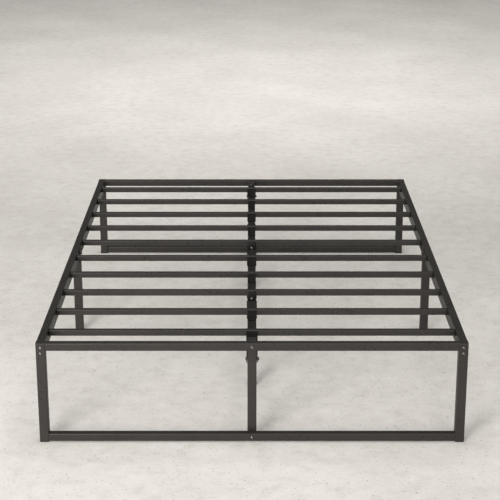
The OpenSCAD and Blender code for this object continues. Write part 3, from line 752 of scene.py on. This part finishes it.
def bead_pattern(length):
    """Weld bead along X: a rod with a ripple at each step of the torch and narrowed ends."""
    bpy.ops.object.select_all(action="DESELECT")
    bpy.ops.mesh.primitive_cylinder_add(vertices=10, radius=BEAD_RADIUS, depth=length,
                                        rotation=(0, math.pi / 2, 0))
    bead = bpy.context.active_object
    bead.name = "bead_pattern"
    bpy.ops.object.transform_apply(location=True, rotation=True, scale=True)
    steps = max(4, 2 * round(length / BEAD_PITCH / 2))
    pick(bead, "EDGE", lambda a, b: abs(a.x - b.x) > length / 2)
    bpy.ops.mesh.subdivide(number_cuts=steps - 1)
    near = BEAD_PITCH / 20
    for step in range(steps + 1):
        x = -length / 2 + length * step / steps
        to_object()
        pick(bead, "EDGE", lambda a, b: abs(a.x - x) < near and abs(b.x - x) < near)
        at_end = step in (0, steps)
        size = BEAD_TIP if at_end else (1.0 if step % 2 else BEAD_VALLEY)
        bpy.ops.transform.resize(value=(1, size, size))
    to_object()
    bpy.ops.object.shade_smooth_by_angle(angle=math.radians(50))
    return bead


def weld_group(name, beads):
    """One piece from a list of beads, each a (place, length, direction)."""
    turns = {"x": {}, "y": {"z_angle": 90}, "z": {"y_angle": -90}}
    patterns = {}
    copies = []
    for place, length, direction in beads:
        key = round(length / MM, 1)
        if key not in patterns:
            patterns[key] = bead_pattern(length)
        copies.append(copy_to(patterns[key], name, turned(place, **turns[direction])))
    for pattern in patterns.values():
        discard(pattern)
    hand_over(join_pieces(copies, name), "frame_steel")


def end_frame_beads(end):
    """Beads where an end frame's rails meet its corner legs, below or above each rail and behind it."""
    beads = []
    for rail, inner in (("_top_rail", "low"), ("_bottom_rail", "high")):
        low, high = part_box(end + rail)
        rail_y = (low.y + high.y) / 2
        back_y = high.y if end == "foot" else low.y
        corner_z = low.z if inner == "low" else high.z
        for x in (low.x, high.x):
            beads.append(((x, rail_y, corner_z), (high.y - low.y) * ACROSS_RAIL, "y"))
            beads.append(((x, back_y, (low.z + high.z) / 2), (high.z - low.z) * UP_RAIL, "z"))
    return beads


def fork_beads():
    """Beads at the inner ends of the fork plates, on the beam's sides."""
    beads = []
    for node in ("foot_beam_fork", "head_beam_fork"):
        low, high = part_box(node)
        y = high.y if node.startswith("foot") else low.y
        for x in (BEAM_LOW.x, BEAM_HIGH.x):
            beads.append(((x, y, (low.z + high.z) / 2), (high.z - low.z) * UP_FORK, "z"))
    return beads


def support_beads():
    """Beads round the tops of the support legs, under their plates."""
    beads = []
    for node in ("foot_support_leg", "head_support_leg"):
        low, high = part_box(node)
        middle = (low + high) / 2
        length = (high.x - low.x) * ROUND_SUPPORT
        for x in (low.x, high.x):
            beads.append(((x, middle.y, high.z), length, "y"))
        for y in (low.y, high.y):
            beads.append(((middle.x, y, high.z), length, "x"))
    return beads


def middle_leg_beads():
    """Beads where the angle brackets stand on the middle legs and where their uprights start."""
    beads = []
    for leg in ("left_middle_leg", "right_middle_leg"):
        low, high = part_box(leg)
        inner_x = high.x if leg.startswith("left") else low.x
        for y in (low.y, high.y):
            length = (high.x - low.x) * ACROSS_MIDDLE_LEG
            beads.append((((low.x + high.x) / 2, y, high.z), length, "x"))
        beads.append(((inner_x, 0, high.z), (high.y - low.y) * ROUND_SUPPORT, "y"))
    return beads


def make_welds():
    """Beads behind and under the joints; the seams that face outwards have none."""
    weld_group("foot_end_welds", end_frame_beads("foot"))
    weld_group("head_end_welds", end_frame_beads("head"))
    weld_group("fork_welds", fork_beads())
    weld_group("support_welds", support_beads())
    weld_group("middle_leg_welds", middle_leg_beads())


dress_frame()
make_holders()
make_feet()
make_fasteners()
make_welds()


# ---------------------------------------------------------------- floor, light and camera

def floor_noise(tree, place, scale, detail, roughness):
    """One layer of the floor's noise."""
    noise = add_node(tree, "ShaderNodeTexNoise", Vector=place, Scale=scale,
                     Detail=detail, Roughness=roughness)
    return noise.outputs["Fac"]


def make_floor():
    """Pale sealed concrete, well past the view on every side."""
    bpy.ops.object.select_all(action="DESELECT")
    bpy.ops.mesh.primitive_grid_add(x_subdivisions=4, y_subdivisions=4, size=40, location=(0, 6, 0))
    floor = bpy.context.active_object
    floor.name = "studio_floor"
    material = bpy.data.materials.new("pale_concrete")
    material.use_nodes = True
    tree = material.node_tree
    surface = tree.nodes["Principled BSDF"]
    place = add_node(tree, "ShaderNodeTexCoord").outputs["Object"]
    cloud = floor_noise(tree, place, 1.3, 8.0, 0.62)
    mottle = floor_noise(tree, place, 17.0, 6.0, 0.72)
    pits = floor_noise(tree, place, 105.0, 2.0, 0.5)
    tone = mix_colour(tree, remap(tree, cloud, 0.3, 0.7), (0.72, 0.70, 0.66, 1), (0.84, 0.82, 0.785, 1))
    tone = mix_colour(tree, remap(tree, mottle, 0.50, 0.70, 0.0, 0.6), tone, (0.60, 0.58, 0.54, 1))
    tone = mix_colour(tree, remap(tree, mottle, 0.46, 0.30, 0.0, 0.5), tone, (0.90, 0.885, 0.86, 1))
    tone = mix_colour(tree, remap(tree, pits, 0.65, 0.70, 0.0, 0.75), tone, (0.34, 0.33, 0.31, 1))
    tree.links.new(tone, surface.inputs["Base Color"])
    tree.links.new(remap(tree, cloud, 0.3, 0.7, 0.60, 0.75), surface.inputs["Roughness"])
    relief = add_node(tree, "ShaderNodeBump", Strength=0.15, Distance=0.002, Height=mottle)
    tree.links.new(relief.outputs["Normal"], surface.inputs["Normal"])
    dress(floor, material)


def soft_light(name, place, aim, size, power, colour):
    """A large square lamp at a place, turned to face a point."""
    data = bpy.data.lights.new(name, "AREA")
    data.size = size
    data.energy = power
    data.color = colour
    lamp = bpy.data.objects.new(name, data)
    bpy.context.scene.collection.objects.link(lamp)
    lamp.location = place
    lamp.rotation_euler = (Vector(aim) - Vector(place)).to_track_quat("-Z", "Y").to_euler()


def make_lights():
    """A low key from the front left, two lamps above and a surround that is brightest in front."""
    soft_light("key_softbox", (-2.5, -5.5, 1.75), (-0.1, -0.3, 0.2), 2.0, 290, (1.0, 0.98, 0.955))
    soft_light("overhead_softbox", (0.0, 0.4, 7.0), (0.0, 0.4, 0.0), 4.0, 190, (1.0, 0.985, 0.965))
    soft_light("far_floor_softbox", (0.0, 4.2, 3.6), (0.0, 8.5, 0.0), 3.0, 95, (1.0, 0.985, 0.965))
    world = bpy.data.worlds.new("pale_surround")
    world.use_nodes = True
    bpy.context.scene.world = world
    tree = world.node_tree
    way = add_node(tree, "ShaderNodeTexCoord").outputs["Generated"]
    towards_head = add_node(tree, "ShaderNodeSeparateXYZ", Vector=way).outputs["Y"]
    backdrop = tree.nodes["Background"]
    backdrop.inputs["Color"].default_value = (0.95, 0.93, 0.90, 1)
    tree.links.new(remap(tree, towards_head, -0.9, 0.1, 1.15, 0.17), backdrop.inputs["Strength"])


CAMERA_PLACE = (-0.0063, -4.9042, 1.9903)
CAMERA_DOWN = 17.042
CAMERA_LENS = 97.98
CAMERA_SHIFT = -0.08


def make_camera():
    """Two metres up in front of the foot end, a little to the left of the middle."""
    data = bpy.data.cameras.new("foot_end_camera")
    data.sensor_width = 36.0
    data.lens = CAMERA_LENS
    data.shift_y = CAMERA_SHIFT
    data.clip_end = 100.0
    data.dof.use_dof = False
    camera = bpy.data.objects.new("foot_end_camera", data)
    bpy.context.scene.collection.objects.link(camera)
    camera.location = CAMERA_PLACE
    camera.rotation_euler = (math.radians(90 - CAMERA_DOWN), 0, 0)
    bpy.context.scene.camera = camera


make_floor()
make_lights()
make_camera()
bpy.context.scene.view_settings.view_transform = "Standard"
